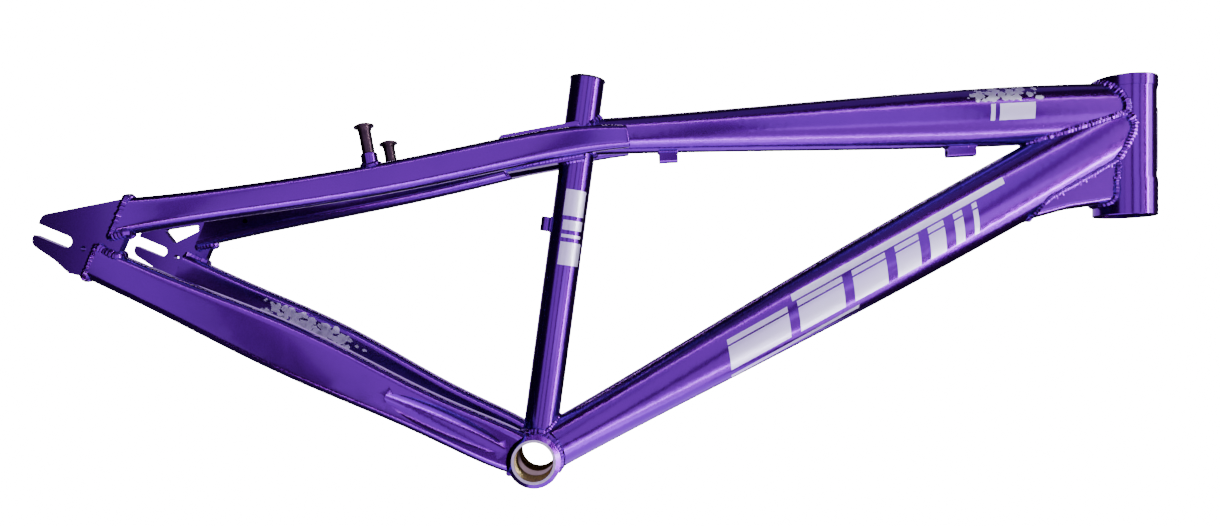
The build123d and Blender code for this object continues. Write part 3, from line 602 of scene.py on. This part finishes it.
# %% Cut threads
THREAD_PITCH = 1.058 * MM        # 24 threads to the inch
THREAD_DEPTH = 0.45 * MM
THREAD_RUN = 25 * MM
THREAD_LEAD = 1.5                # turns left uncut at the shell's end
ROOT_SINK = 0.05 * MM            # how deep the ridge's foot lies in the wall
ROOT_HALF = 0.48                 # half the ridge's foot, as a share of the pitch
TURN_STEPS = 40
bracket = mounts["bottom_bracket"]
bore_radius = bracket["dims"]["r_mm"] * MM
half_shell = bracket["dims"]["length_mm"] * MM / 2


def cut_thread(name, end):
    """Ridge that winds inward from one end of the shell."""
    copy = bmesh.new()
    start = end * (half_shell - THREAD_LEAD * THREAD_PITCH)
    inward = -end * THREAD_PITCH
    root = bore_radius + ROOT_SINK
    corners = [(root, -ROOT_HALF), (bore_radius - THREAD_DEPTH, 0.0), (root, ROOT_HALF)]
    verts = [copy.verts.new((radius, start + share * THREAD_PITCH, 0))
             for radius, share in corners]
    profile = copy.faces.new(verts)
    turns = int(THREAD_RUN / THREAD_PITCH)
    steps = turns * TURN_STEPS
    bmesh.ops.spin(copy, geom=[profile, *profile.edges, *verts], cent=(0, 0, 0), axis=(0, 1, 0),
                   dvec=(0, inward / TURN_STEPS, 0), angle=turns * 2 * math.pi, steps=steps)
    bmesh.ops.remove_doubles(copy, verts=copy.verts, dist=MERGE)
    bmesh.ops.recalc_face_normals(copy, faces=copy.faces)
    shade(copy)
    print(name, "turns:", turns, "faces:", len(copy.faces))
    # the threads take the bore's straw colour, a painted warm reflection
    keep(name, copy, "bare_aluminium", painted_warm_reflection_metal)


cut_thread("thread_right", -1)
cut_thread("thread_left", 1)

# %% [markdown]
# ## Film graphics
# The graphics on such a frame are cut from silver film and laid on before the clear coat. Here
# they are plain speed bars and spatter, with no lettering. Each shape is drawn flat in the
# frame's middle plane, sliced so that it can bend, dropped onto the tube's surface from beside
# it, and given a film's thickness. A decal image would need no slices, but it has no edge.

# %% Laying film
FILM_LIFT = 0.12 * MM
FILM_THICKNESS = 0.1 * MM
SLICE_ALONG = 8 * MM
SLICE_ROUND = 2 * MM             # finer, because the tube bends this way
GRAZING = 0.12                   # below this a surface faces too far up or down to take film
SIDE = Vector((0, 1, 0))
BESIDE = 300 * MM                # outside every tube


def lay_film(name, tube, start, along, side, shapes):
    """Shapes in millimetres (along, up) laid on one side of a tube as film."""
    up = along.cross(SIDE)
    copy = bmesh.new()
    for shape in shapes:
        copy.faces.new([copy.verts.new(start + along * (u * MM) + up * (v * MM))
                        for u, v in shape])
    reach = [max(abs(pair[axis]) for shape in shapes for pair in shape) * MM for axis in (0, 1)]
    for axis, far, gap in ((along, reach[0], SLICE_ALONG), (up, reach[1], SLICE_ROUND)):
        for step in range(-int(far / gap) - 1, int(far / gap) + 2):
            bmesh.ops.bisect_plane(copy, geom=[*copy.verts, *copy.edges, *copy.faces],
                                   dist=MERGE / 4, plane_co=start + axis * (step * gap),
                                   plane_no=axis)
    missed = []
    for vert in copy.verts:
        beside = vert.co + SIDE * (side * BESIDE)
        place, normal, _, _ = surfaces[tube].ray_cast(beside, -SIDE * side)
        if place is None or abs(normal.y) < GRAZING:
            missed.append(vert)
        else:
            vert.co = place + normal * FILM_LIFT
    bmesh.ops.delete(copy, geom=missed, context="VERTS")
    copy.normal_update()
    for face in copy.faces:
        if face.normal.y * side < 0:
            face.normal_flip()
    bmesh.ops.solidify(copy, geom=copy.faces[:], thickness=FILM_THICKNESS)
    shade(copy)
    print(name, "faces:", len(copy.faces))
    keep(name, copy, "silver_vinyl", film)


# %% Bars and drops
BAR_SLANT = 0.35                 # forward for each unit of height
DROP_CORNERS = 9
DROP_STRETCH = 1.5               # a drop is longer along its tube
DROP_SMALLEST = 0.25             # as a share of the largest
DROP_RAGGED = (0.55, 1.25)       # how far each corner reaches, as a share of the drop's size
MIDDLE_GAIN = 1.2                # drops in the middle of a stretch are this much larger


def bar(start, end, low, high, slant=BAR_SLANT):
    """Leaning bar: its upper edge is carried forward."""
    return [(start + slant * low, low), (end + slant * low, low), (end + slant * high, high),
            (start + slant * high, high)]


def spatter(start, end, low, high, count, size):
    """Ragged drops, larger and closer in the middle of the stretch."""
    drops = []
    for _ in range(count):
        share = random.betavariate(2, 2)
        radius = size * random.uniform(DROP_SMALLEST, 1) * (MIDDLE_GAIN - abs(share - 0.5))
        u, v = start + share * (end - start), random.uniform(low, high)
        turn = random.uniform(0, math.tau)
        drop = []
        for corner in range(DROP_CORNERS):
            angle = turn + corner * math.tau / DROP_CORNERS
            along = math.cos(angle) * radius * random.uniform(*DROP_RAGGED) * DROP_STRETCH
            rise = math.sin(angle) * radius * random.uniform(*DROP_RAGGED)
            drop.append((u + along, v + rise))
        drops.append(drop)
    return drops


# %% [markdown]
# ## Where the tubes run
# The shapes are measured in millimetres along a tube's middle line and up from it. The lines
# are found from the frame's own mounts: the bottom bracket, the headset's upper seat and the
# seat post's bore.

# %% Middle lines of the tubes
TOP_TUBE_BELOW_SEAT_TOP = 53.5 * MM
TOP_TUBE_BELOW_HEAD_TOP = 29 * MM
DOWN_TUBE_BELOW_HEAD_TOP = 44 * MM
SLEEVE_LIP = 1.6 * MM            # the sleeve's lip stands above the seat tube's top
STAY_REAR = Vector((-404, 0, 22)) * MM    # rear end of a chain stay's line, seen from the side


def upper_end(mount):
    """Direction of a bore's axis and the place where the bore ends."""
    up = Vector(mount["axis"])
    return up, Vector(mount["pos_m"]) + up * (mount["dims"]["length_mm"] / 2 * MM)


shell = Vector(bracket["pos_m"])
head_up, head_top = upper_end(mounts["headset_upper_seat"])
seat_up, lip_top = upper_end(mounts["seat_post"])
seat_top = lip_top - seat_up * SLEEVE_LIP
down_along = (head_top - head_up * DOWN_TUBE_BELOW_HEAD_TOP - shell).normalized()
top_rear = seat_top - seat_up * TOP_TUBE_BELOW_SEAT_TOP
top_along = (head_top - head_up * TOP_TUBE_BELOW_HEAD_TOP - top_rear).normalized()
stay_along = (shell - STAY_REAR).normalized()
print("top tube's line starts at mm:", [round(c / MM, 1) for c in top_rear])

# %% [markdown]
# ## The graphics themselves
# The down tube has two rows of bars that shorten towards the front, as if they sped up, with a
# long bar above and below. The top tube has spatter over two bars, and the seat tube has a stack
# of blocks. The chain stays have spatter on the faces towards the wheel.

# %% Graphics
# A bar is its start and end along the tube, then its low and high edge.
BAR_STRETCHES = ((200, 262), (272, 318), (328, 362), (372, 396), (406, 422), (432, 441),
                 (451, 456))
BAR_ROWS = ((-17, 3.5), (5, 9.5))
random.seed(11)

speed_bars = [bar(268, 486, 11, 17), bar(200, 332, -24, -21.5)]
speed_bars += [bar(*stretch, *row) for row in BAR_ROWS for stretch in BAR_STRETCHES]
top_bars = [bar(380, 412, -7, 8, 0.1), bar(372, 376, -7, 8, 0.1)]
top_bars += spatter(346, 424, 11, 23, 46, 3.4)
seat_bars = [bar(222, 246, -13, 5, 0), bar(209, 218, -13, 4, 0), bar(202, 205, -13, 4, 0),
             bar(177, 198, -14, 4, 0)]
for side, ending in ((-1, "_right"), (1, "_left")):
    lay_film("film_down_tube" + ending, "down_tube", shell, down_along, side, speed_bars)
    lay_film("film_top_tube" + ending, "top_tube", top_rear, top_along, side, top_bars)
    lay_film("film_seat_tube" + ending, "seat_tube", shell, seat_up, side, seat_bars)
stay_spatter = spatter(84, 212, 0, 15, 90, 4.0)
for side, ending in ((-1, "_left"), (1, "_right")):
    stay = "chain_stay" + ending
    lay_film("film_" + stay, stay, STAY_REAR, stay_along, side, stay_spatter)
